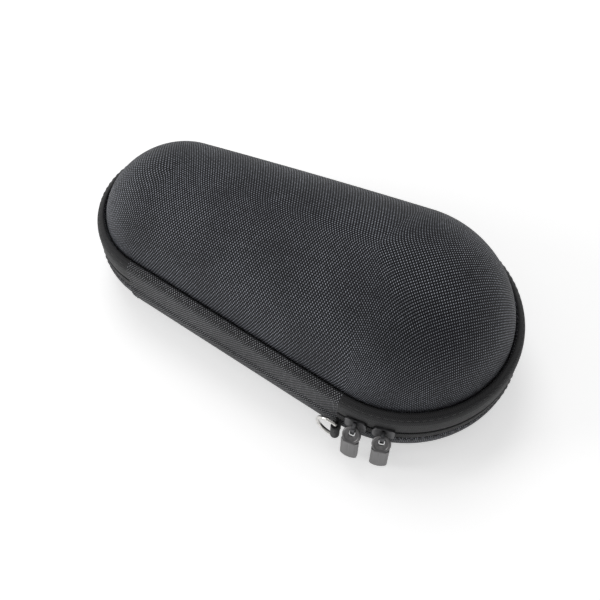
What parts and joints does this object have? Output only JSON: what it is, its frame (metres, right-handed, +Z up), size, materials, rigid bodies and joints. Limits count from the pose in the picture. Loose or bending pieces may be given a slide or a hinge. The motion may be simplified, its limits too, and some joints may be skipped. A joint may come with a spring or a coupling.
{
  "type": "electric shaver hard case",
  "caption": "Tapered moulded hard case for an electric shaver: domed lid and shallow tray with a cloth hinge, two-slider zip, D ring, lid pocket",
  "frame": {"origin": "on the flat underside, at mid length on the long centre line", "axes": "+X towards the wide end, +Z up, hinge on the -Y side"},
  "size_m": [0.215, 0.1172, 0.078],
  "materials": {
    "woven_cover": "ballistic nylon weave",
    "foam_core": "closed-cell foam",
    "lining": "brushed knit",
    "zip_tape": "herringbone tape",
    "zip_coil": "nylon coil",
    "slider_metal": "satin gunmetal",
    "pull_metal": "glossy gunmetal",
    "ring_steel": "polished",
    "webbing": "ribbed webbing",
    "mesh": "open mesh"
  },
  "bodies": {
    "base": {"lower_fabric": "woven_cover", "lower_foam": "foam_core", "lower_lining": "lining", "lower_zip_tape": "zip_tape", "lower_zip_coil": "zip_coil", "zip_stops": "slider_metal", "hinge_band": "woven_cover", "hinge_lining": "lining", "ring_loop": "webbing"},
    "lid": {"upper_fabric": "woven_cover", "upper_foam": "foam_core", "upper_lining": "lining", "upper_zip_tape": "zip_tape", "upper_zip_coil": "zip_coil", "upper_tape_end": "zip_tape", "pocket_mesh": "mesh", "pocket_binding": "webbing"},
    "end_slider": {"end_slider_body": "slider_metal", "end_slider_bridge": "slider_metal"},
    "end_pull": {"end_pull": "pull_metal"},
    "lead_slider": {"lead_slider_body": "slider_metal", "lead_slider_bridge": "slider_metal"},
    "lead_pull": {"lead_pull": "pull_metal"},
    "d_ring": {"d_ring": "ring_steel"}
  },
  "joints": [
    {"name": "lid_hinge", "type": "hinge", "parent": "base", "child": "lid", "pos_m": [0.04684, -0.05415, 0.025], "axis": [0.9936, -0.113, 0], "range_deg": [0, 100], "deforming": ["hinge_band", "hinge_lining", "upper_tape_end", "upper_zip_coil"]},
    {"name": "lead_slider_travel", "type": "hinge", "parent": "base", "child": "lead_slider", "pos_m": [0.053, 0, 0.025], "axis": [0, 0, 1], "range_deg": [0, 160], "deforming": ["upper_zip_coil", "lower_zip_coil"]},
    {"name": "end_slider_travel", "type": "hinge", "parent": "base", "child": "end_slider", "pos_m": [0.053, 0, 0.025], "axis": [0, 0, 1], "range_deg": [0, 1.3]},
    {"name": "end_pull_swing", "type": "hinge", "parent": "end_slider", "child": "end_pull", "pos_m": [0.0565, -0.05704, 0.025], "axis": [-0.9981, -0.0613, 0], "range_deg": [0, 45]},
    {"name": "lead_pull_swing", "type": "hinge", "parent": "lead_slider", "child": "lead_pull", "pos_m": [0.06924, -0.05479, 0.025], "axis": [-0.9588, -0.2842, 0], "range_deg": [0, 45]},
    {"name": "d_ring_swing", "type": "hinge", "parent": "base", "child": "d_ring", "pos_m": [0.04797, -0.05768, 0.0145], "axis": [0, 0, 1], "range_deg": [0, 75]}
  ]
}
